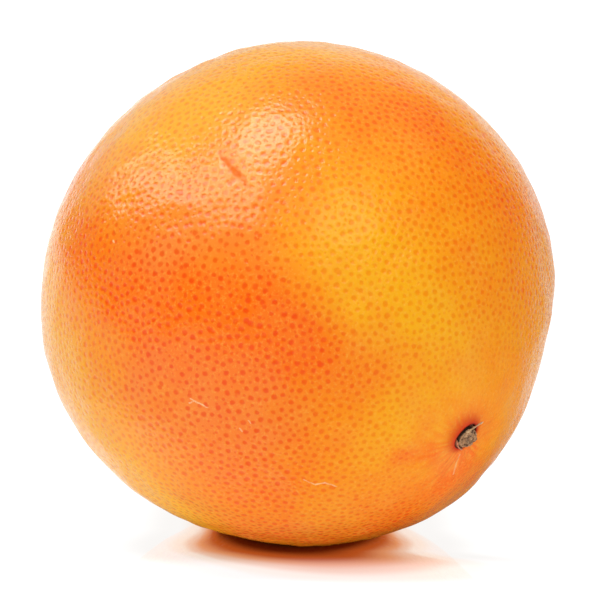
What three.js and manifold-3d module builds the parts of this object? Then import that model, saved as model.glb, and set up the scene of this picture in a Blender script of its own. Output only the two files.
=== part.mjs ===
// A whole red grapefruit, lying on the small flat that its weight presses into the peel.
// Millimetres, +Z up. The origin is on the resting flat, straight under the fruit's middle.
// Two pieces: the fruit, and the woody stem button that is left in its well after picking.

import * as THREE from 'three';
import { mergeVertices } from 'three/addons/utils/BufferGeometryUtils.js';
import Module from 'manifold-3d';

const wasm = await Module();
wasm.setup();

const DEGREE = Math.PI / 180;
const UP = new THREE.Vector3(0, 0, 1);

// Fruit. Its middle stands lower than its radius, so the floor cuts a small round flat.
const MEAN_RADIUS = 51.1;
const MIDDLE_HEIGHT = 49.4;
const FRUIT_SEGMENTS = 64;
const RING_STEP = 6 * DEGREE;

// Broad swellings, or hollows where rise is negative: rise in mm, fading out over reach degrees.
// Azimuth 0 is the -Y side and 90 the +X side.
const LOBES = [
  { name: 'stem shoulder', azimuth: 40, elevation: -18, reach: 30, rise: 0.9 },
  { name: 'blossom end', azimuth: -140, elevation: 18, reach: 35, rise: -1.0 },
  { name: 'right cheek', azimuth: 95, elevation: 15, reach: 30, rise: 1.2 },
  { name: 'right flank', azimuth: 80, elevation: -15, reach: 20, rise: -0.9 },
  { name: 'right heel', azimuth: 65, elevation: -50, reach: 25, rise: 0.9 },
  { name: 'right crown', azimuth: 120, elevation: 65, reach: 25, rise: 0.3 },
  { name: 'left crown', azimuth: -110, elevation: 50, reach: 40, rise: -0.7 },
  { name: 'left cheek', azimuth: -80, elevation: -15, reach: 25, rise: 0.5 },
  { name: 'left heel', azimuth: -45, elevation: -65, reach: 25, rise: -1.1 },
  { name: 'underside', azimuth: 30, elevation: -70, reach: 25, rise: -0.8 },
  { name: 'back heel', azimuth: 160, elevation: -65, reach: 25, rise: -1.0 },
];

// Stem end: a shallow dish in the peel with a steep well at its middle.
const STEM_AZIMUTH = 40;
const STEM_ELEVATION = -18.5;
const DISH_DEPTH = 0.7;
const DISH_REACH = 7;
const WELL_DEPTH = 2.0;
const WELL_FLOOR_RADIUS = 2.6;
const WELL_LIP_RADIUS = 4.2;
const STEM_RINGS = [1.3, 2.6, 3.0, 3.4, 3.8, 4.2, 5, 6.2, 7.8, 9.8];

// Blossom end, opposite the stem: a small round scar, slightly sunk.
const SCAR_DEPTH = 0.5;
const SCAR_REACH = 2.4;
const SCAR_RINGS = [5, 3.4, 2.2, 1.1];

// Stem button: a short stub, widest just under its face, standing in the well.
const STUB_RADIUS = 2.2;
const STUB_FOOT_RADIUS = 1.9;
const STUB_EDGE = 0.4;
const STUB_CROWN = 0.15;
const STUB_PROUD = 0.9;
const STUB_SEGMENTS = 24;
const FIT_GAP = 0.3;

// Torn fibre on the button: a thin bar that tapers to its free end and lifts off the peel.
const FIBRE_LENGTH = 4.4;
const FIBRE_ROOT_WIDTH = 0.5;
const FIBRE_TIP_WIDTH = 0.25;
const FIBRE_START = new THREE.Vector2(-1.2, 1.5);
const FIBRE_TURN = 22 * DEGREE;
const FIBRE_LIFT = 6 * DEGREE;

// Unit vector at an azimuth and an elevation in degrees.
function direction(azimuth, elevation) {
  const a = azimuth * DEGREE;
  const e = elevation * DEGREE;
  return new THREE.Vector3(Math.cos(e) * Math.sin(a), -Math.cos(e) * Math.cos(a), Math.sin(e));
}

const STEM_AXIS = direction(STEM_AZIMUTH, STEM_ELEVATION);

// Turns the stem's own frame into the fruit's: x level along the peel, y up along it, z outward.
function stemFrame() {
  const level = new THREE.Vector3().crossVectors(UP, STEM_AXIS).normalize();
  const upward = new THREE.Vector3().crossVectors(STEM_AXIS, level);
  return new THREE.Matrix4().makeBasis(level, upward, STEM_AXIS);
}

// Radius of the fruit along a direction, before the stem end is sunk: the mean and each lobe.
function roundRadius(way) {
  let radius = MEAN_RADIUS;
  for (const lobe of LOBES) {
    const middle = direction(lobe.azimuth, lobe.elevation);
    const width = 1 - Math.cos(lobe.reach * DEGREE);
    radius += lobe.rise * Math.exp((way.dot(middle) - 1) / width);
  }
  return radius;
}

// How far the stem end is sunk at a distance from the stem's axis: the dish and the well.
function stemEndDepth(distance) {
  const dish = DISH_DEPTH * Math.exp(-((distance / DISH_REACH) ** 2));
  const wall = THREE.MathUtils.smoothstep(distance, WELL_FLOOR_RADIUS, WELL_LIP_RADIUS);
  return dish + WELL_DEPTH * (1 - wall);
}

// How far the blossom scar is sunk at a distance from the same axis, on the far side.
function scarDepth(distance) {
  return SCAR_DEPTH * Math.exp(-((distance / SCAR_REACH) ** 2));
}

// Radius of the fruit along a direction that is an angle away from the stem's axis.
function fruitRadius(way, angle) {
  const distance = MEAN_RADIUS * Math.sin(angle);
  const sunk = angle < Math.PI / 2 ? stemEndDepth(distance) : scarDepth(distance);
  return roundRadius(way) - sunk;
}

// Angles from the stem's axis to each ring of points: close at both ends, even between them.
function ringAngles() {
  const stemEnd = STEM_RINGS.map((distance) => Math.asin(distance / MEAN_RADIUS));
  const scarEnd = SCAR_RINGS.map((distance) => Math.PI - Math.asin(distance / MEAN_RADIUS));
  const first = stemEnd.at(-1);
  const span = scarEnd[0] - first;
  const steps = Math.round(span / RING_STEP);
  const between = Array.from({ length: steps - 1 }, (_, i) => first + (span * (i + 1)) / steps);
  return [...stemEnd, ...between, ...scarEnd];
}

// Points of the skin about the fruit's middle: one on the stem's axis, the rings, one opposite.
function skinPoints(angles) {
  const frame = stemFrame();
  const points = [];
  const addPoint = (angle, turn) => {
    const way = new THREE.Vector3(
      Math.sin(angle) * Math.cos(turn),
      Math.sin(angle) * Math.sin(turn),
      Math.cos(angle),
    );
    way.applyMatrix4(frame);
    points.push(...way.multiplyScalar(fruitRadius(way, angle)));
  };
  addPoint(0, 0);
  for (const angle of angles) {
    for (let i = 0; i < FRUIT_SEGMENTS; i += 1) {
      addPoint(angle, (2 * Math.PI * i) / FRUIT_SEGMENTS);
    }
  }
  addPoint(Math.PI, 0);
  return points;
}

// Triangles between the rings, with a fan at each end, all facing out.
function skinFaces(ringCount) {
  const at = (ring, i) => 1 + ring * FRUIT_SEGMENTS + (i % FRUIT_SEGMENTS);
  const lastRing = ringCount - 1;
  const farPoint = 1 + ringCount * FRUIT_SEGMENTS;
  const faces = [];
  for (let i = 0; i < FRUIT_SEGMENTS; i += 1) {
    faces.push(0, at(0, i), at(0, i + 1));
    for (let ring = 0; ring < lastRing; ring += 1) {
      faces.push(at(ring, i), at(ring + 1, i), at(ring + 1, i + 1));
      faces.push(at(ring, i), at(ring + 1, i + 1), at(ring, i + 1));
    }
    faces.push(at(lastRing, i), farPoint, at(lastRing, i + 1));
  }
  return faces;
}

function skinGeometry() {
  const angles = ringAngles();
  const geometry = new THREE.BufferGeometry();
  geometry.setAttribute('position', new THREE.Float32BufferAttribute(skinPoints(angles), 3));
  geometry.setIndex(skinFaces(angles.length));
  return geometry;
}

// A closed three.js shape as a manifold-3d solid.
function toSolid(geometry) {
  const bare = geometry.clone();
  bare.deleteAttribute('normal');
  bare.deleteAttribute('uv');
  const merged = mergeVertices(bare, 1e-4);
  return new wasm.Manifold(new wasm.Mesh({
    numProp: 3,
    vertProperties: new Float32Array(merged.attributes.position.array),
    triVerts: new Uint32Array(merged.index.array),
  }));
}

// A manifold-3d solid as a three.js shape.
function toGeometry(solid) {
  const { vertProperties, triVerts } = solid.getMesh();
  const geometry = new THREE.BufferGeometry();
  geometry.setAttribute('position', new THREE.BufferAttribute(vertProperties, 3));
  geometry.setIndex(new THREE.BufferAttribute(triVerts, 1));
  return geometry;
}

// The fruit about its middle, with everything below the floor taken off.
function fruitGeometry() {
  const side = 2 * MEAN_RADIUS;
  const floorBlock = new THREE.BoxGeometry(side, side, side);
  floorBlock.translate(0, 0, -MIDDLE_HEIGHT - side / 2);
  return toGeometry(toSolid(skinGeometry()).subtract(toSolid(floorBlock)));
}

// Half profile of the stub turned about its axis, from the foot's middle to the face's middle.
function stubGeometry(foot, face) {
  const profile = [
    new THREE.Vector2(0, foot),
    new THREE.Vector2(STUB_FOOT_RADIUS, foot),
    new THREE.Vector2(STUB_RADIUS, face - 2 * STUB_EDGE),
    new THREE.Vector2(STUB_RADIUS, face - STUB_EDGE),
    new THREE.Vector2(STUB_RADIUS - STUB_EDGE, face),
    new THREE.Vector2(0, face + STUB_CROWN),
  ];
  return new THREE.LatheGeometry(profile, STUB_SEGMENTS).rotateX(Math.PI / 2);
}

// Tapered bar from the stub's face out over the peel, rooted a little way inside the stub.
function fibreGeometry(face) {
  const root = FIBRE_ROOT_WIDTH / Math.SQRT2;
  const tip = FIBRE_TIP_WIDTH / Math.SQRT2;
  const bar = new THREE.CylinderGeometry(tip, root, FIBRE_LENGTH, 4);
  bar.translate(0, FIBRE_LENGTH / 2, 0);
  bar.rotateZ(-Math.PI / 2);
  bar.rotateY(-FIBRE_LIFT);
  bar.rotateZ(FIBRE_TURN);
  return bar.translate(FIBRE_START.x, FIBRE_START.y, face);
}

function stemButtonGeometry() {
  const skin = roundRadius(STEM_AXIS);
  const foot = skin - stemEndDepth(STUB_FOOT_RADIUS) + FIT_GAP;
  const lip = skin - stemEndDepth(WELL_LIP_RADIUS);
  const face = lip + STUB_PROUD;
  return toGeometry(toSolid(stubGeometry(foot, face)).add(toSolid(fibreGeometry(face))));
}

function fruit() {
  const peel = new THREE.MeshStandardMaterial({ color: 0xf98a2b, roughness: 0.4, metalness: 0 });
  const mesh = new THREE.Mesh(fruitGeometry(), peel);
  mesh.name = 'fruit';
  return mesh;
}

function stemButton() {
  const wood = new THREE.MeshStandardMaterial({ color: 0x8c7b62, roughness: 0.8, metalness: 0 });
  const mesh = new THREE.Mesh(stemButtonGeometry(), wood);
  mesh.name = 'stem_button';
  mesh.applyMatrix4(stemFrame());
  return mesh;
}

const grapefruit = new THREE.Group();
grapefruit.position.z = MIDDLE_HEIGHT;
grapefruit.add(fruit(), stemButton());

export default grapefruit;
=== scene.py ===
"""A whole red grapefruit: blushed, gland-dotted peel and a woody stem button in its well.

Metres, +Z up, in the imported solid's own frame. Shapes are written in millimetres, and MM turns
them into metres as each mesh is made. A direction is an azimuth and an elevation in degrees as
seen from the fruit's middle. A turn goes about the stem, from its level side to its upper side.
"""
from functools import reduce

import bpy
import numpy as np
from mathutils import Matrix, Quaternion, Vector


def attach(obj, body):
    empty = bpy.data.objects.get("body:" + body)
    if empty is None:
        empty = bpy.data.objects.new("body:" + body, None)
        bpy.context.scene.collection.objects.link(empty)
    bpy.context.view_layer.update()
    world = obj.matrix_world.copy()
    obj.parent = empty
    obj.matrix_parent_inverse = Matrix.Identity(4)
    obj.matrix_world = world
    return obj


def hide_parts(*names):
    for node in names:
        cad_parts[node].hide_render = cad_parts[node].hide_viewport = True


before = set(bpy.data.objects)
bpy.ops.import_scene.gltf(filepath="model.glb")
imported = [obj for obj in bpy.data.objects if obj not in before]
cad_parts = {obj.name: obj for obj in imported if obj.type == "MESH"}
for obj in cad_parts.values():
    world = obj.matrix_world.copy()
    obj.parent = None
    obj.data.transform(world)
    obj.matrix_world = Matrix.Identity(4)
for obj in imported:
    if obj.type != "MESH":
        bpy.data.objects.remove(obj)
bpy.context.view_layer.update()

MM = 0.001

# ---- the fruit's shape, in mm
MEAN_RADIUS = 51.1
MIDDLE_HEIGHT = 49.4
PRESSED_EDGE = 0.25
MIDDLE = np.array([0, 0, MIDDLE_HEIGHT])
STEM_AZIMUTH, STEM_ELEVATION = 40, -18.5

# The solid's broad swellings and hollows: azimuth, elevation and reach in degrees, rise in mm.
LOBES = {
    "stem shoulder": (40, -18, 30, 0.9),
    "blossom end": (-140, 18, 35, -1.0),
    "right cheek": (95, 15, 30, 1.2),
    "right flank": (80, -15, 20, -0.9),
    "right heel": (65, -50, 25, 0.9),
    "right crown": (120, 65, 25, 0.3),
    "left crown": (-110, 50, 40, -0.7),
    "left cheek": (-80, -15, 25, 0.5),
    "left heel": (-45, -65, 25, -1.1),
    "underside": (30, -70, 25, -0.8),
    "back heel": (160, -65, 25, -1.0),
}
# Creases: the directions of both ends, half width in degrees, depth in mm.
CREASES = {
    "brow crease": ((-22.9, 45.8), (-12, 37.8), 1.7, 0.15),
    "stem crease": ((23.8, -19.8), (33, -21.2), 2.2, 0.07),
}
# The skin's unevenness: wavelength and rise in mm, and the seed of its waves.
SKIN_WAVES = ((22, 0.10, 11), (9, 0.045, 12), (4.5, 0.028, 13))
EVEN_WITHIN, UNEVEN_BEYOND = 3.5, 9

# The stem's end: heights and distances from the stem's axis in mm, turns in degrees.
DISH_DEPTH, DISH_REACH = 0.25, 7
WELL_DEPTH, WELL_FOOT, WELL_LIP = 1.9, 2.2, 2.85
LIP_INSET, UPPER_LEFT = 0.22, 135
SWELL_HEIGHT, SWELL_RADIUS, SWELL_WIDTH, SWELL_TURN = 0.5, 3.0, 1.3, 138
STREAK_RELIEF, STREAK_REACH, LOWER_LEFT = 0.05, 11, 235
STREAKS_START, STREAKS_FULL = 3.0, 5.0
STREAK_WAVELENGTH, STREAK_SEED = 1.3, 14
STREAK_RING, STREAK_STRETCH = 7, 0.3

# The blossom scar: depths, heights and distances from the stem's axis in mm.
SCAR_DEPTH, SCAR_REACH = 0.55, 2.2
SCAR_RIM_HEIGHT, SCAR_RIM_RADIUS, SCAR_RIM_WIDTH = 0.12, 3.4, 0.7
SCAR_ROUGHNESS, SCAR_ROUGH_REACH = 0.05, 2.6


def direction(azimuth, elevation):
    """Unit vector at an azimuth and an elevation in degrees: 0 is the -Y side, 90 the +X side."""
    a, e = np.radians(azimuth), np.radians(elevation)
    return np.array([np.cos(e) * np.sin(a), -np.cos(e) * np.cos(a), np.sin(e)])


def bell(ways, azimuth, elevation, reach):
    """A round hill of height 1 about a direction: exp((cos gap - 1) / (1 - cos reach))."""
    width = 1 - np.cos(np.radians(reach))
    return np.exp((ways @ direction(azimuth, elevation) - 1) / width)


def streak(ways, start, end, reach):
    """A long hill of height 1 along the line between two directions: exp(-(gap / reach)^2)."""
    a, b = direction(*start), direction(*end)
    along = np.clip((ways - a) @ (b - a) / ((b - a) @ (b - a)), 0, 1)
    nearest = a + along[:, None] * (b - a)
    nearest /= np.linalg.norm(nearest, axis=1)[:, None]
    gap_squared = 2 - 2 * (ways * nearest).sum(1)
    return np.exp(-gap_squared / np.radians(reach) ** 2)


def hump(value, middle, width):
    """A hump of height 1 about a middle value: exp(-((value - middle) / width)^2)."""
    return np.exp(-(((value - middle) / width) ** 2))


def ramp(low, high, value):
    """Smooth step: 0 below low, 1 above high, and 3t^2 - 2t^3 between them."""
    t = np.clip((value - low) / (high - low), 0, 1)
    return t * t * (3 - 2 * t)


def facing(turn, degrees):
    """1 where a turn points this many degrees round, 0 on the far side: (1 + cos gap) / 2."""
    return 0.5 + 0.5 * np.cos(turn - np.radians(degrees))


def ripples(points, wavelength, seed, count=40):
    """Even random unevenness of spread 1: a sum of plane waves of one wavelength all ways."""
    rng = np.random.default_rng(seed)
    ways = rng.normal(size=(count, 3))
    ways /= np.linalg.norm(ways, axis=1)[:, None]
    lengths = wavelength * rng.uniform(0.75, 1.35, count)
    phases = points @ (ways * (2 * np.pi / lengths)[:, None]).T
    return np.cos(phases + rng.uniform(0, 2 * np.pi, count)).sum(1) * np.sqrt(2 / count)


def skin_ripples(ways, wavelength, rise, seed):
    """Ripples over the fruit, of this wavelength and rise in mm or in shares of a colour."""
    return rise * ripples(ways * MEAN_RADIUS, wavelength, seed)


STEM_AXIS = direction(STEM_AZIMUTH, STEM_ELEVATION)
STEM_LEVEL = np.cross([0, 0, 1], STEM_AXIS)
STEM_LEVEL /= np.linalg.norm(STEM_LEVEL)
STEM_UP = np.cross(STEM_AXIS, STEM_LEVEL)


def ways_about_stem(angle, turn):
    """Unit vectors at an angle from the stem's axis, turned about it from its level direction."""
    across = np.cos(turn)[..., None] * STEM_LEVEL + np.sin(turn)[..., None] * STEM_UP
    return np.sin(angle)[..., None] * across + np.cos(angle)[..., None] * STEM_AXIS


def stem_place(ways):
    """Distance from the stem's axis in mm, the turn about it, and whether it is the far side."""
    x, y, z = ways @ STEM_LEVEL, ways @ STEM_UP, ways @ STEM_AXIS
    return MEAN_RADIUS * np.hypot(x, y), np.arctan2(y, x), z < 0


def stem_streaks(distance, turn):
    """Uneven streaks that run out from the stem, about -1 to 1, strongest on its lower left.

    They are ripples on a narrow ring, drawn out along the distance from the stem.
    """
    spots = np.stack([STREAK_RING * np.cos(turn), STREAK_RING * np.sin(turn),
                      STREAK_STRETCH * distance], -1)
    strength = 0.25 + 0.75 * facing(turn, LOWER_LEFT)
    fading = ramp(STREAKS_START, STREAKS_FULL, distance) * hump(distance, 0, STREAK_REACH)
    return ripples(spots, STREAK_WAVELENGTH, STREAK_SEED) * fading * strength


def lip_inset(turn):
    """How many mm nearer the stem the well's lip stands: most on its upper left."""
    return LIP_INSET * facing(turn, UPPER_LEFT)


def stem_end_depth(distance, turn):
    """How far the peel sinks about the stem: a shallow dish, and a well with a wavering wall.

    The peel swells against the stem on the side away from the fruit's foot, and wrinkles run
    out from the well's lip.
    """
    dish = DISH_DEPTH * hump(distance, 0, DISH_REACH)
    waver = 0.08 * np.cos(3 * turn + 0.6) + 0.05 * np.cos(7 * turn + 2)
    well = WELL_DEPTH * (1 - ramp(WELL_FOOT, WELL_LIP, distance + waver + lip_inset(turn)))
    upper = facing(turn, SWELL_TURN) ** 2
    swell = SWELL_HEIGHT * upper * hump(distance, SWELL_RADIUS, SWELL_WIDTH)
    return dish + well - swell + STREAK_RELIEF * stem_streaks(distance, turn)


def scar_depth(distance, turn):
    """The blossom scar: a sunk dimple with a low corky rim and a rough floor."""
    dimple = SCAR_DEPTH * hump(distance, 0, SCAR_REACH)
    rim = SCAR_RIM_HEIGHT * hump(distance, SCAR_RIM_RADIUS, SCAR_RIM_WIDTH)
    rough = SCAR_ROUGHNESS * np.cos(5 * turn + distance * 2) * hump(distance, 0, SCAR_ROUGH_REACH)
    return dimple - rim + rough


def skin_points(ways):
    """Points of the peel along unit vectors from the fruit's middle, in mm.

    The radius is the mean, plus each lobe, plus three sizes of unevenness, less the creases,
    the stem end and the blossom scar. Below the floor the skin is pressed up on to it.
    """
    radius = np.full(len(ways), MEAN_RADIUS)
    for azimuth, elevation, reach, rise in LOBES.values():
        radius += rise * bell(ways, azimuth, elevation, reach)
    distance, turn, far = stem_place(ways)
    uneven = ramp(EVEN_WITHIN, UNEVEN_BEYOND, distance)
    for wavelength, rise, seed in SKIN_WAVES:
        radius += uneven * skin_ripples(ways, wavelength, rise, seed)
    for start, end, reach, depth in CREASES.values():
        radius -= depth * streak(ways, start, end, reach)
    radius -= np.where(far, scar_depth(distance, turn), stem_end_depth(distance, turn))
    points = ways * radius[:, None]
    height = points[:, 2] + MIDDLE_HEIGHT
    points[:, 2] = (height + np.hypot(height, PRESSED_EDGE)) / 2
    return points


# ---- oil glands
GLAND_SPACING = 1.55
STEM_GLAND_SHRINK, STEM_GLAND_REACH = 0.38, 19
SMALL_GLAND_SHARE = 0.35
SMALL_GLANDS, FULL_GLANDS = (0.5, 0.75), (0.85, 1.2)
GLAND_SHAKE = 0.34
PUSH_ROUNDS, PUSH_ROOM, PUSH_SHARE = 14, 1.06, 0.22
GOLDEN_ANGLE = np.pi * (3 - np.sqrt(5))
# On a golden-angle spiral the near neighbours are these many places on.
NEIGHBOUR_STEPS = (1, 2, 3, 4, 5, 7, 8, 11, 13, 18, 21, 29, 34, 47, 55, 76, 89, 123, 144, 199,
                   233, 322, 377, 521, 610)


def gland_spacing(angle):
    """Spacing in mm at an angle from the stem: even, and finer close to the stem."""
    near = hump(angle * MEAN_RADIUS, 0, STEM_GLAND_REACH)
    return GLAND_SPACING * (1 - STEM_GLAND_SHRINK * near)


def oil_glands():
    """Directions and widths in mm of the oil glands.

    They start on a golden-angle spiral whose rings hold the spacing wanted there. Each is
    shaken, then those nearer than their sizes allow push each other apart, a few times over.
    """
    rng = np.random.default_rng(7)
    steps = np.linspace(0, np.pi, 4001)
    packed = np.sqrt(3) / 2 * gland_spacing(steps) ** 2
    count_to = np.cumsum(2 * np.pi * MEAN_RADIUS**2 * np.sin(steps) / packed) * steps[1]
    count = int(count_to[-1])
    index = np.arange(count)
    angle = np.interp(index + 0.5, count_to, steps)
    ways = ways_about_stem(angle, index * GOLDEN_ANGLE)
    wanted = gland_spacing(angle) / MEAN_RADIUS
    size = np.where(rng.random(count) < SMALL_GLAND_SHARE, rng.uniform(*SMALL_GLANDS, count),
                    rng.uniform(*FULL_GLANDS, count))
    ways += rng.normal(size=ways.shape) * GLAND_SHAKE * wanted[:, None]
    for _ in range(PUSH_ROUNDS):
        push = np.zeros_like(ways)
        for step in NEIGHBOUR_STEPS:
            between = ways[step:] - ways[:-step]
            length = np.linalg.norm(between, axis=1)
            room = wanted[step:] * (size[step:] + size[:-step]) / (2 * size.mean())
            shove = np.clip(room * PUSH_ROOM - length, 0, None) / (length + 1e-9) * PUSH_SHARE
            push[step:] += between * shove[:, None]
            push[:-step] -= between * shove[:, None]
        ways += push
        ways /= np.linalg.norm(ways, axis=1)[:, None]
    return ways, size * wanted * MEAN_RADIUS


def two_nearest(ways, centres):
    """For each direction, the numbers of the two nearest centres: the largest cosines."""
    first = np.empty(len(ways), int)
    second = np.empty(len(ways), int)
    towards = centres.T.astype(np.float32)
    for block in np.array_split(np.arange(len(ways)), 1 + len(ways) // 2000):
        cosines = ways[block].astype(np.float32) @ towards
        rows = np.arange(len(block))
        first[block] = cosines.argmax(1)
        cosines[rows, first[block]] = -2
        second[block] = cosines.argmax(1)
    return first, second


# ---- colour laid on the peel
# Blush on the peel: both ends, reach on its left and on its right as you go, strength.
BLUSH = {
    "front band": ((-53, 18), (-6, 11), 10, 13, 0.50),
    "far cheek": ((-84, 28), (-68, 20), 8, 8, 0.28),
    "low blush": ((-22, 2), (-12, -30), 15, 17, 0.42),
    "tongue": ((-2, 5), (14, 0), 7, 8, 0.35),
    "tongue tip": ((20, 2), (32, 4), 6, 6, 0.24),
    "edge blush": ((-12, 27), (4, 9), 5, 5, 0.10),
    "edge gold": ((4, 26), (16, 5), 4.5, 4.5, -0.15),
    "crown blush": ((16, 64), (48, 58), 12, 12, 0.30),
    "cheek blush": ((58, 38), (62, 26), 13, 13, 0.29),
    "saddle": ((-36, 34), (-14, 30), 8, 8, 0.13),
    "brow blush": ((-2, 40), (6, 36), 7, 7, 0.14),
    "crease blush": ((22.5, -19.7), (31.5, -21), 2.4, 2.4, 0.42),
    "stem blush": ((40, -15), (41, -27), 6, 6, 0.5),
    "heel blush": ((28, -38), (50, -34), 10, 10, 0.32),
    # Partly painted shade: the peel is made redder towards the contact below.
    "foot blush and shade": ((-14, -54), (30, -52), 11, 11, 0.38),
    "gold heart": ((13, 30), (26, 9), 11, 11, -0.50),
    "gold front": ((20, -6), (19, -15), 6, 6, -0.3),
    "heart blush": ((-4, -10), (5, -18), 7, 7, 0.14),
    "gold right": ((34, 2), (38, -9), 7, 7, -0.32),
    "gold side": ((72, 14), (68, -22), 12, 12, -0.22),
    "gold heel": ((-78, 6), (-52, -38), 19, 19, -0.62),
    "gold foot": ((-50, -38), (-42, -52), 9, 9, -0.2),
    "gold crown": ((-82, 48), (-48, 57), 13, 13, -0.36),
    "gold brow": ((-58, 46), (-40, 50), 8, 8, -0.18),
    "gold top": ((30, 86), (-60, 74), 17, 17, -0.54),
    "gold ear": ((86, 58), (86, 42), 13, 13, -0.25),
    "back blush": ((150, 35), (-160, 5), 24, 30, 0.30),
    "back gold": ((110, -10), (150, -30), 18, 20, -0.40),
    "blossom gold": ((-135, 15), (-125, 35), 12, 16, -0.35),
    "back heel gold": ((-120, -35), (-150, -45), 18, 18, -0.35),
}
BASE_BLUSH, MOST_BLUSH = 0.47, 1.15
# Mottling: wavelength in mm, strength and seed.
BLUSH_WAVES = ((16, 0.035, 21), (6, 0.03, 22))

# Paler, pinker peel, the low patch partly a painted reflection: both ends, reach in degrees,
# strength.
PINK = {
    # Partly painted reflection: the white floor's sheen low on the front left.
    "low pink and reflection": ((-28, -6), (-10, -12), 13, 0.42),
    "saddle pink": ((-32, 24), (-14, 32), 9, 0.55),
    "stem pink": ((46, -30), (38, -22), 7, 0.3),
    "back pink": ((170, 20), (-170, -5), 16, 0.5),
}
PINK_WAVES = (9, 0.06, 23)

# The well's red and painted shade: where it starts and how it fades, in mm from the stem's axis.
RED_FROM, RED_REACH, RED_LEAN, LEAST_RED_REACH = 2.6, 1.3, 1.15, 0.25

# Coarser skin: both ends, reach in degrees, and how much deeper its pits are.
COARSE = (((74, 22), (70, -8), 13, 1.3), ((77, -4), (70, -23), 9, 1.9))

# Cork at the blossom end: a patch that fades between two radii, and a weaker ring, in mm.
CORK_FULL, CORK_NONE = 1.2, 2.6
CORK_RING_STRENGTH, CORK_RING_RADIUS, CORK_RING_WIDTH = 0.45, 3.3, 0.5


def leaning_streak(ways, start, end, reach_left, reach_right):
    """A streak that falls off over one reach on its left side and another on its right."""
    a, b = direction(*start), direction(*end)
    side = ways @ np.cross(a, b)
    left = streak(ways, start, end, reach_left)
    right = streak(ways, start, end, reach_right)
    return np.where(side > 0, left, right)


def blush_on(ways):
    """How red the peel is, 0 gold to 1 red: a base, each patch, and two sizes of mottling."""
    amount = np.full(len(ways), BASE_BLUSH)
    for start, end, left, right, strength in BLUSH.values():
        amount += strength * leaning_streak(ways, start, end, left, right)
    for wavelength, strength, seed in BLUSH_WAVES:
        amount += skin_ripples(ways, wavelength, strength, seed)
    return np.clip(amount, 0, MOST_BLUSH)


def pink_on(ways):
    """How pale and pink the peel is, 0 to 1: each patch, and a little mottling."""
    amount = skin_ripples(ways, *PINK_WAVES)
    for start, end, reach, strength in PINK.values():
        amount += strength * streak(ways, start, end, reach)
    return np.clip(amount, 0, 1)


def well_red_and_shade_on(ways):
    """Deep red and painted shade at the well's lip, further on its upper left: 1 inside the well.
    """
    distance, turn, far = stem_place(ways)
    reach = RED_REACH + RED_LEAN * np.cos(turn - np.radians(UPPER_LEFT))
    past_lip = np.clip(distance + lip_inset(turn) - RED_FROM, 0, None)
    return np.where(far, 0, hump(past_lip, 0, np.clip(reach, LEAST_RED_REACH, None)))


def coarse_on(ways):
    """How many times deeper than elsewhere the skin's pits are: coarse on the right flank."""
    patches = [strength * streak(ways, start, end, reach) for start, end, reach, strength in COARSE]
    return 1 + np.maximum(*patches)


def scar_on(ways):
    """How corky the peel is: a small uneven patch at the blossom end and a ring about it."""
    distance, turn, far = stem_place(ways)
    uneven = distance * (1 + 0.12 * np.cos(3 * turn + 1) + 0.08 * np.cos(5 * turn))
    patch = 1 - ramp(CORK_FULL, CORK_NONE, uneven)
    ring = CORK_RING_STRENGTH * hump(uneven, CORK_RING_RADIUS, CORK_RING_WIDTH)
    return np.where(far, np.maximum(patch, ring), 0)


# ---- mesh making
BAKE_MAP = "OFBake"
PATCH_FILL = 0.96


def put_mesh(name, points, faces):
    """A smooth-shaded object from points in mm and a list of arrays of corner numbers."""
    mesh = bpy.data.meshes.new(name)
    corners = [row for block in faces for row in block.tolist()]
    mesh.from_pydata((points * MM).tolist(), [], corners)
    mesh.polygons.foreach_set("use_smooth", np.ones(len(mesh.polygons), bool))
    mesh.update()
    piece = bpy.data.objects.new(name, mesh)
    bpy.context.scene.collection.objects.link(piece)
    return piece


def turns_round(count):
    """Even turns about an axis, in radians."""
    return np.arange(count) * 2 * np.pi / count


def rings_to_faces(rings, turns):
    """Corner numbers for rings of points with a pole before the first and after the last."""
    ring, turn = np.meshgrid(np.arange(rings - 1), np.arange(turns), indexing="ij")
    after = (turn + 1) % turns
    near, far = 1 + ring * turns, 1 + (ring + 1) * turns
    walls = np.stack([near + turn, far + turn, far + after, near + after], -1).reshape(-1, 4)
    round_ = np.arange(turns)
    onward = (round_ + 1) % turns
    base = 1 + (rings - 1) * turns
    first = np.stack([0 * round_, 1 + round_, 1 + onward], -1)
    last = np.stack([0 * round_ + base + turns, base + onward, base + round_], -1)
    return [walls, first, last]


def add_values(piece, name, values, kind="FLOAT", domain="POINT"):
    """A named attribute on the piece's mesh."""
    field = "value" if kind == "FLOAT" else "vector"
    attribute = piece.data.attributes.new(name, kind, domain)
    attribute.data.foreach_set(field, np.ascontiguousarray(values, np.float32).ravel())


def face_centres(mesh):
    """The middle of each face, in metres."""
    centres = np.empty(len(mesh.polygons) * 3)
    mesh.polygons.foreach_get("center", centres)
    return centres.reshape(-1, 3)


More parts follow.
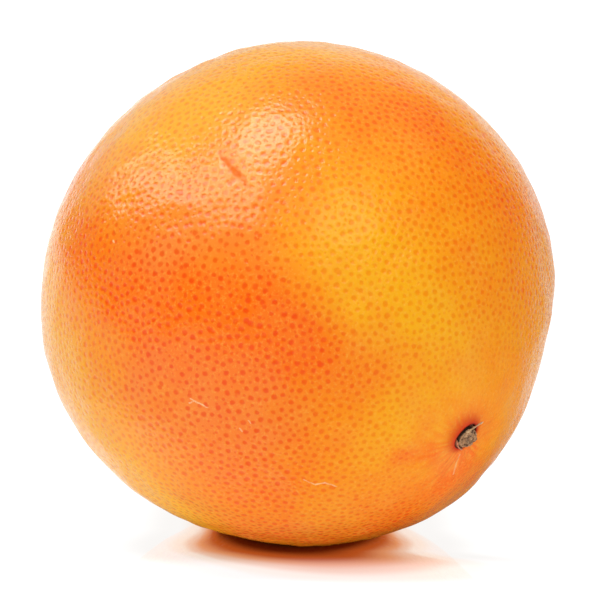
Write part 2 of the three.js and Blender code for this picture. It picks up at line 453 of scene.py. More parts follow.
def unwrap_on_cube(piece):
    """A UV map with six square patches: each face goes to the side of a cube it looks at.

    Within a patch, u and v are the angles across it and up it, so that the peel keeps its scale.
    """
    mesh = piece.data
    points = np.empty(len(mesh.vertices) * 3)
    mesh.vertices.foreach_get("co", points)
    points = points.reshape(-1, 3) - MIDDLE * MM
    corners = np.empty(len(mesh.loops), int)
    mesh.loops.foreach_get("vertex_index", corners)
    centres = face_centres(mesh) - MIDDLE * MM
    counts = np.empty(len(mesh.polygons), int)
    mesh.polygons.foreach_get("loop_total", counts)
    axis = np.repeat(np.abs(centres).argmax(1), counts)
    rows = np.arange(len(axis))
    sign = np.sign(np.repeat(centres, counts, 0)[rows, axis])
    at = points[corners]
    depth = at[rows, axis] * sign
    u = np.arctan2(at[rows, (axis + 1) % 3] * sign, depth) / (np.pi / 4)
    v = np.arctan2(at[rows, (axis + 2) % 3], depth) / (np.pi / 4)
    across = (axis + 0.5 + PATCH_FILL / 2 * u) / 3
    up = ((sign < 0) + 0.5 + PATCH_FILL / 2 * v) / 2
    layer = mesh.uv_layers.new(name=BAKE_MAP)
    layer.data.foreach_set("uv", np.stack([across, up], -1).astype(np.float32).ravel())


# ---- shader maths
class Wire:
    """A shader socket that takes arithmetic: an expression on values adds its Math nodes."""

    def __init__(self, tree, socket=None):
        self.tree, self.socket = tree, socket

    def node(self, kind, settings=None, sockets=None, output=0):
        """Adds a node of this kind, makes its settings, then fills its sockets."""
        node = self.tree.nodes.new(kind)
        for name, value in (settings or {}).items():
            setattr(node, name, value)
        for key, value in (sockets or {}).items():
            if isinstance(value, Wire):
                self.tree.links.new(value.socket, node.inputs[key])
            else:
                node.inputs[key].default_value = value
        return Wire(self.tree, node.outputs[output]) if node.outputs else None

    def math(self, operation, *terms):
        return self.node("ShaderNodeMath", {"operation": operation}, dict(enumerate(terms)))

    def __add__(self, other):
        return self.math("ADD", self, other)

    def __sub__(self, other):
        return self.math("SUBTRACT", self, other)

    def __mul__(self, other):
        return self.math("MULTIPLY", self, other)

    def __truediv__(self, other):
        return self.math("DIVIDE", self, other)

    def __rsub__(self, other):
        return self.math("SUBTRACT", other, self)

    def __abs__(self):
        return self.math("ABSOLUTE", self)

    __radd__, __rmul__ = __add__, __mul__

    def at_most(self, other):
        return self.math("MINIMUM", self, other)

    def at_least(self, other):
        return self.math("MAXIMUM", self, other)

    def step(self, low, high):
        """0 at low, 1 at high, smooth between; low may be the greater."""
        return self.node("ShaderNodeMapRange", {"interpolation_type": "SMOOTHSTEP"},
                         {"Value": self, "From Min": low, "From Max": high})

    def vector(self, operation, *terms, output="Vector"):
        return self.node("ShaderNodeVectorMath", {"operation": operation},
                         dict(enumerate(terms)), output)

    def plus(self, other):
        return self.vector("ADD", self, other)

    def minus(self, other):
        return self.vector("SUBTRACT", self, other)

    def scaled(self, factor):
        return self.node("ShaderNodeVectorMath", {"operation": "SCALE"},
                         {0: self, "Scale": factor})

    def gap_to(self, other):
        return self.vector("DISTANCE", self, other, output="Value")

    def towards(self, way):
        """How far this vector goes along a fixed way."""
        return self.vector("DOT_PRODUCT", self, tuple(way.tolist()), output="Value")

    def times(self, way):
        """This number of steps along a fixed way."""
        spread = self.node("ShaderNodeCombineXYZ", {}, {0: self, 1: self, 2: self})
        return spread.vector("MULTIPLY", spread, tuple(way.tolist()))

    def parts(self):
        """The three numbers of a vector."""
        return [self.node("ShaderNodeSeparateXYZ", {}, {0: self}, axis) for axis in "XYZ"]

    def noise(self, size, detail=2.0, roughness=0.5, output="Fac"):
        """Noise whose patches are about size across, in this vector's unit."""
        return self.node("ShaderNodeTexNoise", {},
                         {"Vector": self, "Scale": 1 / size, "Detail": detail,
                          "Roughness": roughness}, output)

    def wander(self, size):
        """A random vector about zero, its patches about size across."""
        return self.noise(size, 1, output="Color").minus((0.5, 0.5, 0.5))

    def tint(self, low, high):
        """Colour low where this is 0 and high where it is 1."""
        return self.node("ShaderNodeMix", {"data_type": "RGBA"}, {0: self, 6: low, 7: high}, 2)

    def named(self, name, output="Fac"):
        """A named attribute of the piece."""
        return self.node("ShaderNodeAttribute", {"attribute_name": name}, {}, output)

    def place(self):
        """The shaded point on the piece, in mm."""
        return self.node("ShaderNodeTexCoord", {}, {}, "Object").scaled(1 / MM)

    def ray(self, kind):
        """1 for rays of this kind, such as Is Camera Ray, 0 for the rest."""
        return self.node("ShaderNodeLightPath", {}, {}, kind)

    def bump(self):
        """The surface's normal with this height in mm laid on it."""
        return self.node("ShaderNodeBump", {}, {"Height": self, "Distance": MM, "Strength": 1.0},
                         "Normal")


def paint(red, green, blue):
    """A linear colour from display values of 0 to 255."""
    share = np.array([red, green, blue]) / 255
    linear = np.where(share < 0.04045, share / 12.92, ((share + 0.055) / 1.055) ** 2.4)
    return (*linear.tolist(), 1.0)


def new_material(name):
    """An empty material, and a Wire to start its nodes from."""
    material = bpy.data.materials.new(name)
    material.use_nodes = True
    material.node_tree.nodes.clear()
    return material, Wire(material.node_tree)


def finish_material(start, sockets):
    """A Principled shader with these sockets filled."""
    surface = start.node("ShaderNodeBsdfPrincipled", {}, sockets)
    start.node("ShaderNodeOutputMaterial", {}, {"Surface": surface})


# ---- the peel
PEEL_TURNS = 360
PEEL_RING_GAP = 0.74
STEM_RING_GAP, STEM_RINGS_WITHIN, STEM_RINGS_FADED = 0.15, 4, 13
SCAR_RING_GAP, SCAR_RINGS_WITHIN, SCAR_RINGS_FADED = 0.30, 4, 11

# A gland's tone by its width, and how it fades close to the stem, in mm from it.
LEAST_TONE, TONE_SPREAD = 0.4, (0.75, 1.15)
STEM_TONE, TONE_FADES_FROM, TONE_FULL_AT = 0.12, 4, 26

# Pale scuffs on the peel: both ends, width in mm and strength.
SCUFFS = (
    ((-22, -6.6), (-18.4, -8.1), 0.22, 1.0),
    ((-22.4, -7.6), (-21.2, -7.0), 0.2, 0.9),
    ((1.8, -25), (4.5, -26.4), 0.22, 0.7),
    ((4.5, -26.4), (6.5, -26), 0.3, 1.0),
    ((6.5, -26), (9.4, -27.2), 0.2, 0.7),
    ((-45.7, 23), (-45.3, 22.6), 0.28, 1.0),
    ((-11.7, -12.3), (-11.2, -12.8), 0.25, 0.8),
    ((-9.7, -10.3), (-9.3, -10.8), 0.22, 0.7),
    ((39.9, -23.3), (40.5, -28.8), 0.32, 0.5),
)

NET_GOLD = paint(252, 175, 22)
NET_RED = paint(253, 116, 10)
NET_PINK = paint(250, 140, 70)
NET_PALE = paint(255, 192, 74)
GLAND_GOLD = paint(248, 150, 8)
GLAND_RED = paint(248, 80, 2)
GLAND_PINK = paint(236, 92, 34)
# The well's colours: a red that is partly painted shade, and a painted shade brown inside it.
WELL_RED_AND_SHADE = paint(204, 30, 0)
WELL_PAINTED_SHADE = paint(64, 10, 2)
# The brow crease's darker orange is painted shade.
CREASE_PAINTED_SHADE = paint(240, 106, 2)
SCUFF_PALE = paint(255, 205, 150)
SCAR_BROWN = paint(150, 92, 48)

# Sizes in mm of the peel's mottling and relief, from broad to fine.
MOTTLE_SIZE, SKIN_SIZE, WRINKLE_SIZE, FINE_SIZE, GRAIN_SIZE = 5, 2.2, 1.5, 0.55, 0.35
# Heights in mm of the same, and of the marks.
SKIN_RELIEF, WRINKLE_RELIEF, FINE_RELIEF, GRAIN_RELIEF = 0.07, 0.09, 0.048, 0.018
DIMPLE_DEPTH, GROOVE_DEPTH, SCUFF_RISE = 0.07, 0.05, 0.02
# How much redder the mottling, the fine relief and the stem's streaks make the peel.
MOTTLE_BLUSH, FINE_BLUSH, STREAK_BLUSH = 0.30, 0.16, 0.15
# A gland's dot and dimple reach to this share of its spacing from its middle.
GLAND_REACH = 0.32
WAX_ROUGHNESS, WAX_IOR = 0.16, 1.32


def peel_rings():
    """Angles of the peel's rings from the stem: close together at the stem and at the scar."""
    reach = np.linspace(0, np.pi * MEAN_RADIUS, 8001)
    at_stem = STEM_RING_GAP + (PEEL_RING_GAP - STEM_RING_GAP) * ramp(
        STEM_RINGS_WITHIN, STEM_RINGS_FADED, reach)
    at_scar = SCAR_RING_GAP + (PEEL_RING_GAP - SCAR_RING_GAP) * ramp(
        SCAR_RINGS_WITHIN, SCAR_RINGS_FADED, reach[-1] - reach)
    passed = np.cumsum(1 / np.minimum(at_stem, at_scar)) * reach[1]
    count = int(passed[-1])
    return np.interp(np.arange(1, count), passed, reach) / MEAN_RADIUS


def make_peel():
    """The peel: ring angle by turn about the stem, at skin_points' distance from the middle."""
    angles = peel_rings()
    angle, turn = np.meshgrid(angles, turns_round(PEEL_TURNS), indexing="ij")
    ways = ways_about_stem(angle.ravel(), turn.ravel())
    ways = np.vstack([STEM_AXIS, ways, -STEM_AXIS])
    piece = put_mesh("peel", skin_points(ways), rings_to_faces(len(angles), PEEL_TURNS))
    add_values(piece, "blush", blush_on(ways))
    add_values(piece, "pink", pink_on(ways))
    add_values(piece, "well_red_and_shade", well_red_and_shade_on(ways))
    add_values(piece, "scar", scar_on(ways))
    add_values(piece, "coarse", coarse_on(ways))
    distance, turn, far = stem_place(ways)
    add_values(piece, "streaks", np.where(far, 0, stem_streaks(distance, turn)))
    add_glands(piece)
    unwrap_on_cube(piece)
    return piece


def gland_tones(centres, width):
    """How strong each gland's colour is: by its width and by chance, and faint at the stem."""
    rng = np.random.default_rng(8)
    tone = np.clip(0.5 + 0.6 * (width / GLAND_SPACING - 0.5) / 0.7, LEAST_TONE, 1)
    tone = np.clip(tone * rng.uniform(*TONE_SPREAD, len(tone)), 0, 1)
    distance, turn, far = stem_place(centres)
    from_stem = ramp(TONE_FADES_FROM, TONE_FULL_AT, distance * (1 - 0.3 * np.cos(turn)))
    return tone * np.where(far, 1, STEM_TONE + (1 - STEM_TONE) * from_stem)


def add_glands(piece):
    """On each face: where its two nearest oil glands are, and their widths and tones."""
    centres, width = oil_glands()
    tone = gland_tones(centres, width)
    ways = face_centres(piece.data) / MM - MIDDLE
    ways /= np.linalg.norm(ways, axis=1)[:, None]
    places = skin_points(centres) * MM
    for name, nearest in zip("ab", two_nearest(ways, centres)):
        add_values(piece, "gland_" + name, places[nearest], "FLOAT_VECTOR", "FACE")
        looks = np.stack([width[nearest], tone[nearest], 0 * nearest], -1)
        add_values(piece, "gland_looks_" + name, looks, "FLOAT_VECTOR", "FACE")


def skin_spot(way):
    """The point of the peel in mm along a direction."""
    return skin_points(way[None] / np.linalg.norm(way))[0]


def line_gap(place, start, end, taper=0):
    """Distance in mm from a place to the line along the peel between two directions.

    The line is the straight run between both ends, raised in the middle to follow the peel.
    The distance grows by the taper towards both ends, so that a mark drawn by it narrows.
    """
    first, last = direction(*start), direction(*end)
    a, b, crest = skin_spot(first), skin_spot(last), skin_spot(first + last)
    run, rise = b - a, crest - (a + b) / 2
    offset = place.minus(tuple(a.tolist()))
    along = offset.towards(run / (run @ run)).at_least(0).at_most(1)
    arch = along * (1 - along) * 4
    foot = along.times(run).plus(arch.times(rise))
    return offset.gap_to(foot) + (1 - arch) * taper


def glands_on(start, place):
    """The dots and the dimples of a place's two glands, each 0 to 1: the stronger of the two."""
    dots, dimples = [], []
    for name in "ab":
        centre = start.named("gland_" + name, "Vector").scaled(1 / MM)
        width, tone, _ = start.named("gland_looks_" + name, "Vector").parts()
        share = place.gap_to(centre) / (width * GLAND_REACH)
        dots.append(share.step(1.3, 0.5) * tone)
        dimples.append(share.step(1.6, 0.1) * (tone * 0.6 + 0.4))
    return dots[0].at_least(dots[1]), dimples[0].at_least(dimples[1])


def brow_groove(place, bent):
    """How much of the brow crease is at a place: a narrow wavering line, stronger in parts."""
    one_end, other_end, _, _ = CREASES["brow crease"]
    line = line_gap(bent, one_end, other_end, taper=0.5).step(1.05, 0.1)
    return line * (0.65 + place.noise(1.0, 1).step(0.40, 0.58) * 0.35)


def scuffs_on(place, fine):
    """How scuffed a place is, 0 to 1: the strongest scuff there, broken up by the fine noise."""
    marks = [line_gap(place, start, end).step(width, width * 0.3) * strength
             for start, end, width, strength in SCUFFS]
    return reduce(Wire.at_least, marks) * fine.step(0.25, 0.5)


def peel_material():
    """Waxy peel: gold to red net, redder glands in dimples, a crease, scuffs and the stem's red.
    The crease's colour and the well's dark red and brown are painted shade.

    The net and the glands each go from gold to red by the blush. The wax is glossy, and duller
    in the crease, on scuffs and on cork. The skin's relief is deeper where it is coarse.
    """
    material, start = new_material("Waxy blushed peel")
    place = start.place()
    blush, pink = start.named("blush"), start.named("pink")
    well_red_and_shade, streaks = start.named("well_red_and_shade"), start.named("streaks")
    coarse = start.named("coarse")
    shaken = place.plus(place.wander(1.1).scaled(0.5))
    bent = shaken.plus(place.wander(3).scaled(1.2))

    mottle = place.noise(MOTTLE_SIZE, 3, 0.55)
    fine = place.noise(FINE_SIZE, 2, 0.6)
    grain = place.noise(GRAIN_SIZE, 1, 0.5)
    dot, dimple = glands_on(start, shaken)
    groove = brow_groove(place, bent)
    scuff = scuffs_on(shaken, fine)
    scar = start.named("scar") * (0.6 + fine * 0.5)

    redness = (blush + (mottle - 0.5) * MOTTLE_BLUSH + (fine - 0.5) * FINE_BLUSH
               - streaks * STREAK_BLUSH)
    redness = redness.at_least(0).at_most(MOST_BLUSH)
    net = (pink * 0.8).tint(redness.tint(NET_GOLD, NET_RED), NET_PINK)
    gland = (pink * 0.7).tint(redness.tint(GLAND_GOLD, GLAND_RED), GLAND_PINK)
    colour = dot.tint(net, gland)
    pale = fine.step(0.50, 0.72) * (1 - dot) * 0.3 + streaks.at_least(0) * 0.10
    colour = pale.tint(colour, NET_PALE)
    # Painted shade: the brow crease is coloured a darker orange along its groove.
    colour = (groove * 0.95).tint(colour, CREASE_PAINTED_SHADE)
    # Painted shade: the well's lip is deep red, partly the peel's own red, and its inside
    # near-black brown.
    colour = (well_red_and_shade * 0.95).tint(colour, WELL_RED_AND_SHADE)
    colour = (well_red_and_shade.step(0.9, 1.0) * 0.95).tint(colour, WELL_PAINTED_SHADE)
    colour = (scuff * 0.75).tint(colour, SCUFF_PALE)
    colour = (scar * 0.85).at_most(1).tint(colour, SCAR_BROWN)

    roughness = (WAX_ROUGHNESS + (mottle - 0.5) * 0.06 + (fine - 0.5) * 0.06
                 + scuff * 0.2 + scar * 0.4 + groove * 0.7)
    height = (place.noise(SKIN_SIZE, 2) * SKIN_RELIEF + fine * FINE_RELIEF + grain * GRAIN_RELIEF
              - dimple * DIMPLE_DEPTH - groove * GROOVE_DEPTH + scuff * SCUFF_RISE) * coarse
    height = height + place.noise(WRINKLE_SIZE, 2) * (coarse - 1) * WRINKLE_RELIEF
    finish_material(start, {"Base Color": colour, "Roughness": roughness, "IOR": WAX_IOR,
                            "Normal": height.bump()})
    return material


# ---- the stem button
# Radii and heights in mm along the stem's axis, heights from the fruit's middle.
BUTTON_RADIUS, BUTTON_FOOT_RADIUS, BUTTON_POLE_RADIUS = 2.2, 1.9, 0.2
BUTTON_FOOT, BUTTON_FACE, BUTTON_EDGE = 49.73, 52.7, 0.34
BUTTON_TURNS = 112
# Hills and pits of the button's face: level, up, reach and rise in mm.
FACE_HILLS = (
    (-0.87, -0.86, 0.36, -0.55),
    (-0.35, -1.15, 0.22, -0.25),
    (1.45, 0.75, 0.22, -0.25),
    (-0.75, -1.6, 0.35, 0.16),
    (-0.2, -1.85, 0.35, 0.12),
    (0.5, 0.1, 0.5, 0.10),
)
# Painted shade on the button: full deeper than this below the face, gone this close to it, in mm.
WALL_SHADE_WITHIN, WALL_SHADE_GONE = 0.45, 0.12

COLLAR_TURNS, COLLAR_STEPS = 160, 14
COLLAR_FOOT, COLLAR_LOW = 49.9, 1.5
COLLAR_RISE, COLLAR_TURN = 1.35, 222
COLLAR_RADIUS, COLLAR_FLARE = 2.32, 0.20
COLLAR_FOOT_THICKNESS, COLLAR_THINNING = 0.22, 0.10

# The fibre's path over the button's face: level, up and out in mm.
FIBRE_PATH = ((-1.15, 1.72, -0.22), (-0.85, 1.88, -0.06), (-0.35, 2.08, -0.03),
              (0.55, 2.38, -0.03), (1.35, 2.90, 0.06), (2.10, 3.25, 0.18),
              (2.42, 3.44, 0.24))
# Its radius in mm at shares of its length.
FIBRE_SHARES = (0, 0.04, 0.12, 0.25, 0.6, 0.9, 1)
FIBRE_RADII = (0.12, 0.30, 0.32, 0.18, 0.13, 0.16, 0.05)
FIBRE_STEPS, FIBRE_TURNS, FIBRE_SMOOTHINGS = 60, 14, 6

# Painted shade down the button's wall and in its face's pits.
WALL_SHADE_BROWN = paint(30, 14, 8)


def stem_frame_points(x, y, z):
    """Points in mm from places in the stem's own frame: level, up the peel, and outwards."""
    points = x[..., None] * STEM_LEVEL + y[..., None] * STEM_UP + z[..., None] * STEM_AXIS
    return points.reshape(-1, 3) + MIDDLE


def hill(x, y, at_x, at_y, reach):
    """A round hill of height 1: exp(-(distance / reach)^2)."""
    return np.exp(-((x - at_x) ** 2 + (y - at_y) ** 2) / reach**2)


def button_profile():
    """Radius and height along the button: its foot, its wall, its rounded edge and its face."""
    foot = np.linspace(BUTTON_POLE_RADIUS, 1, 6)[:-1]
    wall = np.linspace(0, 1, 26)
    bend = np.linspace(0, np.pi / 2, 9)[1:]
    face = np.linspace(1, 0, 34)[1:-1]
    inner = BUTTON_RADIUS - BUTTON_EDGE
    shoulder = BUTTON_FACE - BUTTON_EDGE
    radius = np.concatenate([foot * BUTTON_FOOT_RADIUS,
                             BUTTON_FOOT_RADIUS + (BUTTON_RADIUS - BUTTON_FOOT_RADIUS) * wall,
                             inner + BUTTON_EDGE * np.cos(bend), face * inner])
    height = np.concatenate([np.full(len(foot), BUTTON_FOOT),
                             BUTTON_FOOT + (shoulder - BUTTON_FOOT) * wall,
                             shoulder + BUTTON_EDGE * np.sin(bend),
                             np.full(len(face), BUTTON_FACE)])
    return radius, height


def make_button():
    """The stem's torn end: a profile from foot to face carried round the stem's axis.

    The wall's radius and the face's height both waver. The face has a rotted hole low on the
    left, a pale lip below it, pits and a crumbled edge.
    """
    radius, height = button_profile()
    r, turn = np.meshgrid(radius, turns_round(BUTTON_TURNS), indexing="ij")
    z = np.repeat(height[:, None], BUTTON_TURNS, 1)
    waver = 0.05 * np.cos(2 * turn + 0.8) + 0.03 * np.cos(3 * turn + 2) + 0.02 * np.cos(7 * turn)
    flattened_top = 0.07 * np.clip(np.sin(turn), 0, None)
    r = r * (1 + waver - flattened_top)
    x, y = r * np.cos(turn), r * np.sin(turn)
    spots = np.stack([x.ravel(), y.ravel(), z.ravel()], -1)
    coarse = ripples(spots, 1.5, 31).reshape(x.shape)
    fine = ripples(spots, 0.6, 32).reshape(x.shape)
    ridges = np.cos(17 * turn + 3 * coarse)
    on_wall = ramp(BUTTON_FOOT + 0.1, BUTTON_FOOT + 0.6, z) * ramp(1.6, 2.0, r)
    grow = 1 + on_wall * (0.02 * ridges + 0.015 * coarse + 0.01 * fine)
    on_face = ramp(BUTTON_FACE - BUTTON_EDGE - 0.05, BUTTON_FACE - 0.02, z)
    relief = 0.13 * coarse + 0.09 * fine
    for at_x, at_y, reach, rise in FACE_HILLS:
        relief += rise * hill(x, y, at_x, at_y, reach)
    z = z + on_face * relief
    points = stem_frame_points(x * grow, y * grow, z)
    ends = stem_frame_points(np.zeros(2), np.zeros(2), np.array([BUTTON_FOOT, BUTTON_FACE]))
    points = np.vstack([ends[:1], points, ends[1:]])
    piece = put_mesh("stem_button", points, rings_to_faces(len(radius), BUTTON_TURNS))
    # Painted shade: darker the further below the face, down the wall and in the face's pits.
    unshaded = ramp(BUTTON_FACE - WALL_SHADE_WITHIN, BUTTON_FACE - WALL_SHADE_GONE, z).ravel()
    add_values(piece, "painted_shade", 1 - np.concatenate([[0], unshaded, [1]]))
    return piece


def make_collar():
    """The calyx's dry rim: a thin wall close round the button, standing low on the left and
    torn down elsewhere. A closed profile up the inside and down the outside, carried round."""
    up = np.linspace(0, 1, COLLAR_STEPS)
    share = np.concatenate([up, [1.0], up[::-1]])
    side = np.concatenate([np.full(COLLAR_STEPS, -0.5), [0.0], np.full(COLLAR_STEPS, 0.5)])
    share, turn = np.meshgrid(share, turns_round(COLLAR_TURNS), indexing="ij")
    side = np.repeat(side[:, None], COLLAR_TURNS, 1)
    standing = ramp(0.55, 0.85, np.cos(turn - np.radians(COLLAR_TURN)))
    ragged = 0.08 * np.cos(5 * turn) + 0.05 * np.cos(13 * turn)
    top = BUTTON_FACE - COLLAR_LOW + COLLAR_RISE * standing + ragged
    z = COLLAR_FOOT + (top - COLLAR_FOOT) * share
    thick = COLLAR_FOOT_THICKNESS - COLLAR_THINNING * share
    middle = COLLAR_RADIUS + (COLLAR_FLARE + 0.04 * np.cos(4 * turn + 1)) * share
    r = middle + side * thick
    points = stem_frame_points(r * np.cos(turn), r * np.sin(turn), z)
    rings, count = share.shape
    ring, place = np.meshgrid(np.arange(rings), np.arange(count), indexing="ij")
    here, beyond, after = ring * count, (ring + 1) % rings * count, (place + 1) % count
    walls = np.stack([here + place, here + after, beyond + after, beyond + place], -1)
    return put_mesh("calyx_collar", points, [walls.reshape(-1, 4)])


def make_fibre():
    """A torn fibre across the face: round sections along a bent path, fat at its root."""
    path = np.array(FIBRE_PATH)
    reach = np.concatenate([[0], np.cumsum(np.linalg.norm(np.diff(path, axis=0), axis=1))])
    along = np.linspace(0, reach[-1], FIBRE_STEPS)
    spine = np.stack([np.interp(along, reach, column) for column in path.T], -1)
    for _ in range(FIBRE_SMOOTHINGS):
        spine[1:-1] = (spine[:-2] + 2 * spine[1:-1] + spine[2:]) / 4
    radius = np.interp(along / reach[-1], FIBRE_SHARES, FIBRE_RADII)
    radius *= 1 + 0.12 * np.cos(along * 9) + 0.08 * np.cos(along * 17 + 1)
    turns = turns_round(FIBRE_TURNS)
    way = np.gradient(spine, axis=0)
    way /= np.linalg.norm(way, axis=1)[:, None]
    side = np.cross([0, 0, 1.0], way)
    side /= np.linalg.norm(side, axis=1)[:, None]
    upward = np.cross(way, side)
    ring = np.cos(turns)[:, None] * side[:, None] + np.sin(turns)[:, None] * upward[:, None]
    spots = spine[:, None] + ring * radius[:, None, None]
    spots = np.vstack([spine[:1], spots.reshape(-1, 3), spine[-1:]])
    points = stem_frame_points(spots[:, 0], spots[:, 1], spots[:, 2] + BUTTON_FACE)
    return put_mesh("torn_fibre", points, rings_to_faces(len(along), FIBRE_TURNS))


def wood_material(name, low, high, flecks):
    """Dry stem wood: two mottled browns, pale flecks, painted shade in pits and down walls, rough
    all over.
    """
    material, start = new_material(name)
    place = start.place()
    mottle = place.noise(0.9, 3, 0.6)
    grain = place.noise(0.22, 3, 0.65)
    colour = (mottle.step(0.33, 0.6) * 0.7 + grain.step(0.3, 0.7) * 0.32).tint(low, high)
    colour = (grain.step(0.56, 0.70) * 0.6).tint(colour, flecks)
    # Painted shade where the piece marks it.
    colour = (start.named("painted_shade") * 0.9).tint(colour, WALL_SHADE_BROWN)
    height = mottle * 0.06 + grain * 0.05
    finish_material(start, {"Base Color": colour, "Roughness": 0.72 + grain * 0.2,
                            "Normal": height.bump()})
    return material


# ---- the pieces
peel = make_peel()
peel.data.materials.append(peel_material())
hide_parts("fruit")

button = make_button()
button.data.materials.append(wood_material(
    "Dry stem end", paint(66, 38, 20), paint(196, 146, 102), paint(240, 212, 168)))
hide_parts("stem_button")

collar = make_collar()
collar.data.materials.append(wood_material(
    "Dry calyx", paint(190, 110, 70), paint(236, 160, 120), paint(248, 190, 150)))

fibre = make_fibre()
fibre.data.materials.append(wood_material(
    "Torn pale fibre", paint(172, 132, 88), paint(218, 178, 132), paint(238, 214, 172)))

for piece in (peel, button, collar, fibre):
    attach(piece, "root")

# ---- the studio
FILL_DISTANCE, SHINE_DISTANCE = 1.3, 1.2
# The softboxes: azimuth, elevation, half width, half height, fill, shine and roll.
SOFTBOXES = {
    "Overhead softbox": (-88, 78, 15, 15, 6.5, 10.5, 0),
    "Right softbox": (31, 46, 13, 14, 1.2, 2.0, 0),
    "Left softbox": (-79, 50, 36, 8, 1.6, 7.5, 26),
    "Front fill": (8, 15, 35, 35, 1.32, 0, 0),
    "Side fill": (85, 15, 30, 25, 0.85, 0, 0),
    "Back softbox": (150, 35, 25, 20, 1.6, 0, 0),
}
CAMERA_ELEVATION, CAMERA_DISTANCE = 16, 404
CAMERA_LENS, CAMERA_SENSOR = 120, 36
TARGET_RIGHT, TARGET_UP = 0.74, -0.8


def aim(thing, place, target, roll=0):
    """Puts a camera or light at a place, its -Z axis pointing at a target, rolled in degrees."""
    thing.location = place
    way = Vector(target) - Vector(place)
    turned = way.to_track_quat("-Z", "Y") @ Quaternion((0, 0, 1), np.radians(roll))
    thing.rotation_euler = turned.to_euler()


def soft_box(name, azimuth, elevation, across, upright, fill, shine, roll):
    """An oval softbox, so many degrees across and upright as the fruit sees it.

    It is two lamps, one behind the other: one of brightness fill lights the peel's colour, and
    one of brightness shine is what the wax mirrors.
    """
    for part, glow, distance in (("fill", fill, FILL_DISTANCE), ("shine", shine, SHINE_DISTANCE)):
        if glow == 0:
            continue
        wide, tall = distance * np.tan(np.radians((across, upright)))
        light = bpy.data.lights.new(name + " " + part, "AREA")
        light.shape = "ELLIPSE"
        light.size, light.size_y = 2 * wide, 2 * tall
        light.energy = glow * np.pi * np.pi * wide * tall
        lamp = bpy.data.objects.new(name + " " + part, light)
        lamp.visible_glossy = part == "shine"
        lamp.visible_diffuse = part == "fill"
        bpy.context.scene.collection.objects.link(lamp)
        aim(lamp, direction(azimuth, elevation) * distance + MIDDLE * MM, MIDDLE * MM, roll)


def set_camera():
    """The scene's camera, a little above level, looking near the fruit's middle."""
    way = direction(0, CAMERA_ELEVATION)
    right = np.array([1, 0, 0])
    up = np.cross(right, -way)
    target = MIDDLE + TARGET_RIGHT * right + TARGET_UP * up
    lens = bpy.data.cameras.new("Camera")
    lens.lens, lens.sensor_width = CAMERA_LENS, CAMERA_SENSOR
    camera = bpy.data.objects.new("Camera", lens)
    bpy.context.scene.collection.objects.link(camera)
    aim(camera, (target + CAMERA_DISTANCE * way) * MM, target * MM)
    bpy.context.scene.camera = camera


for name, settings in SOFTBOXES.items():
    soft_box(name, *settings)
set_camera()

# ---- the table
FLOOR_RADII, FLOOR_TURNS = (60, 120, 250, 600, 1500, 4000), 96
# Painted shadow and fruit's reflection: mm from the contact, and the colour reached between them.
PAINTED_SHADOW_STEPS = (
    ((12.5, 17.0), (0.08, 0.005, 0.0, 1)),
    ((16.2, 20.3), (0.43, 0.07, 0.01, 1)),
    ((20.0, 23.8), (0.66, 0.25, 0.11, 1)),
    ((23.0, 26.5), (0.72, 0.46, 0.34, 1)),
    ((26.0, 30.0), (0.80, 0.70, 0.62, 1)),
    ((30.0, 36.0), (0.80, 0.78, 0.76, 1)),
    ((38.0, 70.0), (1.1, 1.1, 1.1, 1)),
)
# In front of the contact the painted shadow ends sooner: distances forward, and the light added.
FRONT_LIGHT = (((17, 23), (0.2, 0.17, 0.2, 1)), ((27, 36), (0.3, 0.4, 0.45, 1)))
CONTACT_DEEP, CONTACT_ACROSS = 2.0, 0.5
TABLE_BLACK = (0.01, 0.01, 0.01, 1)
TABLE_ROUGHNESS, TABLE_IOR = 0.03, 1.8
TABLE_DIFFUSE = 0.88


def make_floor():
    """A round table: rings of points at growing radii about the contact, closed at the middle."""
    r, turn = np.meshgrid(FLOOR_RADII, turns_round(FLOOR_TURNS), indexing="ij")
    points = np.stack([r * np.cos(turn), r * np.sin(turn), 0 * r], -1)
    points = np.vstack([[0, 0, 0], points.reshape(-1, 3)])
    walls, first, _ = rings_to_faces(len(FLOOR_RADII), FLOOR_TURNS)
    return put_mesh("floor", points, [walls, first])


def contact_distance(across, deep):
    """Distance in mm from the contact, which runs out faster sideways than to the back.

    In front of the contact it leans to the right, and beyond 15 mm sideways it grows faster.
    """
    forward = (CONTACT_DEEP - deep).at_least(0)
    leaning = (across - CONTACT_ACROSS - (forward - 16.5).at_least(0) * 0.9) * 0.96
    sideways = abs(leaning - leaning.at_least(0) * forward.step(16.5, 24) * 0.3)
    sideways = (sideways + (sideways - 19).at_least(0) * 0.8
                + (sideways - 15.5).at_least(0).at_most(4) * forward.step(14, 4) * 2)
    offset = across.node("ShaderNodeCombineXYZ", {}, {0: sideways, 1: deep - CONTACT_DEEP})
    return offset.vector("LENGTH", offset, output="Value")


def painted_shadow_and_reflection(out, deep):
    """Painted shadow and reflection of the fruit by distance from the contact, lighter in front."""
    shade = (0, 0, 0, 1)
    for (near, far), next_shade in PAINTED_SHADOW_STEPS:
        shade = out.step(near, far).tint(shade, next_shade)
    for (near, far), more in FRONT_LIGHT:
        shade = shade.node("ShaderNodeMix", {"data_type": "RGBA", "blend_type": "ADD"},
                           {0: deep.step(-near, -far), 6: shade, 7: more}, 2)
    return shade


def mirrored_light(across, deep, out):
    """What the peel mirrors of the table: bright behind and at the sides, dim close in front."""
    behind = (deep / across.at_least(10)).step(0.1, 0.9)
    beside = across.step(55, 95) * across.step(220, 120)
    near = 0.42 + out.step(240, 130) * 0.3 + out.step(110, 60) * 0.2
    light = (0.06 + behind * near + beside * 0.22
             + deep.step(-15, -45) * 0.3 + across.step(-15, -55) * 0.65)
    return light.at_most(1)


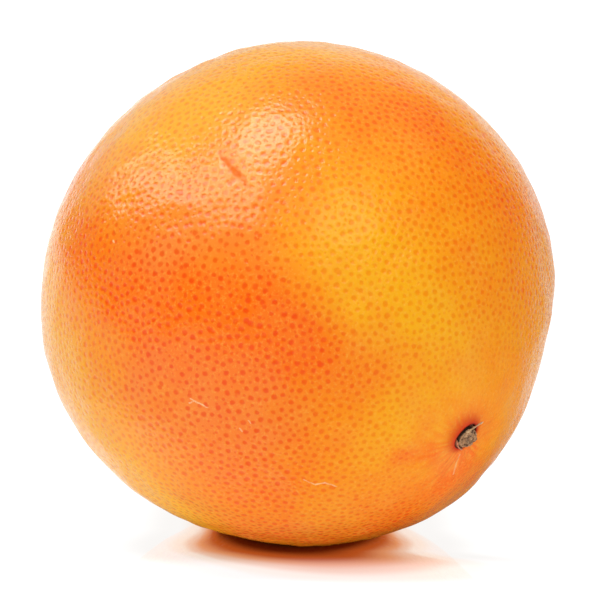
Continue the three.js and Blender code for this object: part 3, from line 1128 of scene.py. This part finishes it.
def scattered_light(across, deep, out):
    """What the table throws on the peel: more on both sides, less in a ring in front right."""
    left = across.step(-5, -45) * (out.step(130, 60) * 0.35 + 0.15)
    right = across.step(10, 60) * out.step(110, 55) * 0.45
    front_right = (across.step(0, 50) * deep.step(20, -30)
                   * out.step(50, 80) * out.step(170, 120) * 0.4)
    return TABLE_DIFFUSE + left + right - front_right


def table_material():
    """Glossy white table that glows by itself: one glow to look at, others to light the peel."""
    material, start = new_material("Glossy white table")
    across, deep, _ = start.place().parts()
    out = contact_distance(across, deep)
    scattered = scattered_light(across, deep, out)
    mirrored = mirrored_light(across, deep, out)
    lighting = start.ray("Is Glossy Ray") * (mirrored - scattered) + scattered
    # The camera sees the painted shadow and reflection; other rays get the table's light.
    glow = start.ray("Is Camera Ray").tint(out.step(18, 42) * lighting, painted_shadow_and_reflection(out, deep))
    finish_material(start, {"Base Color": TABLE_BLACK, "Roughness": TABLE_ROUGHNESS,
                            "IOR": TABLE_IOR, "Emission Color": glow, "Emission Strength": 1.0})
    return material


floor = make_floor()
floor.data.materials.append(table_material())

# ---- the room
ROOM_DIM, ROOM_BACK, ROOM_BACK_MIRRORED, ROOM_LEFT = 0.10, 1.3, 0.75, 0.15
ROOM_CEILING, ROOM_WINDOW, ROOM_SEEN = 0.7, 0.7, 1.05
WINDOW_WAY = direction(-134, 33)


def room_world():
    """A white room: bright at the back, a ceiling and a window that only the wax mirrors."""
    world = bpy.data.worlds.new("White studio")
    world.use_nodes = True
    world.node_tree.nodes.clear()
    start = Wire(world.node_tree)
    look = start.node("ShaderNodeTexCoord", {}, {}, "Generated")
    back = look.towards(np.array([0, 1, 0])).step(0.65, 0.97)
    left = look.towards(np.array([-1, 0, 0])).step(0.2, 0.95)
    ceiling = look.towards(np.array([0, 0, 1])).step(0.5, 0.95)
    window = look.towards(WINDOW_WAY).step(0.85, 0.98)
    glossy, seen = start.ray("Is Glossy Ray"), start.ray("Is Camera Ray")
    glow = (ROOM_DIM + back * (ROOM_BACK - glossy * (ROOM_BACK - ROOM_BACK_MIRRORED))
            + left * ROOM_LEFT + (ceiling * ROOM_CEILING + window * ROOM_WINDOW) * glossy)
    strength = glow * (1 - seen) + seen * ROOM_SEEN
    background = start.node("ShaderNodeBackground", {}, {"Color": (1, 1, 1, 1),
                                                         "Strength": strength})
    start.node("ShaderNodeOutputWorld", {}, {"Surface": background})
    return world


bpy.context.scene.world = room_world()
bpy.context.scene.view_settings.view_transform = "Standard"
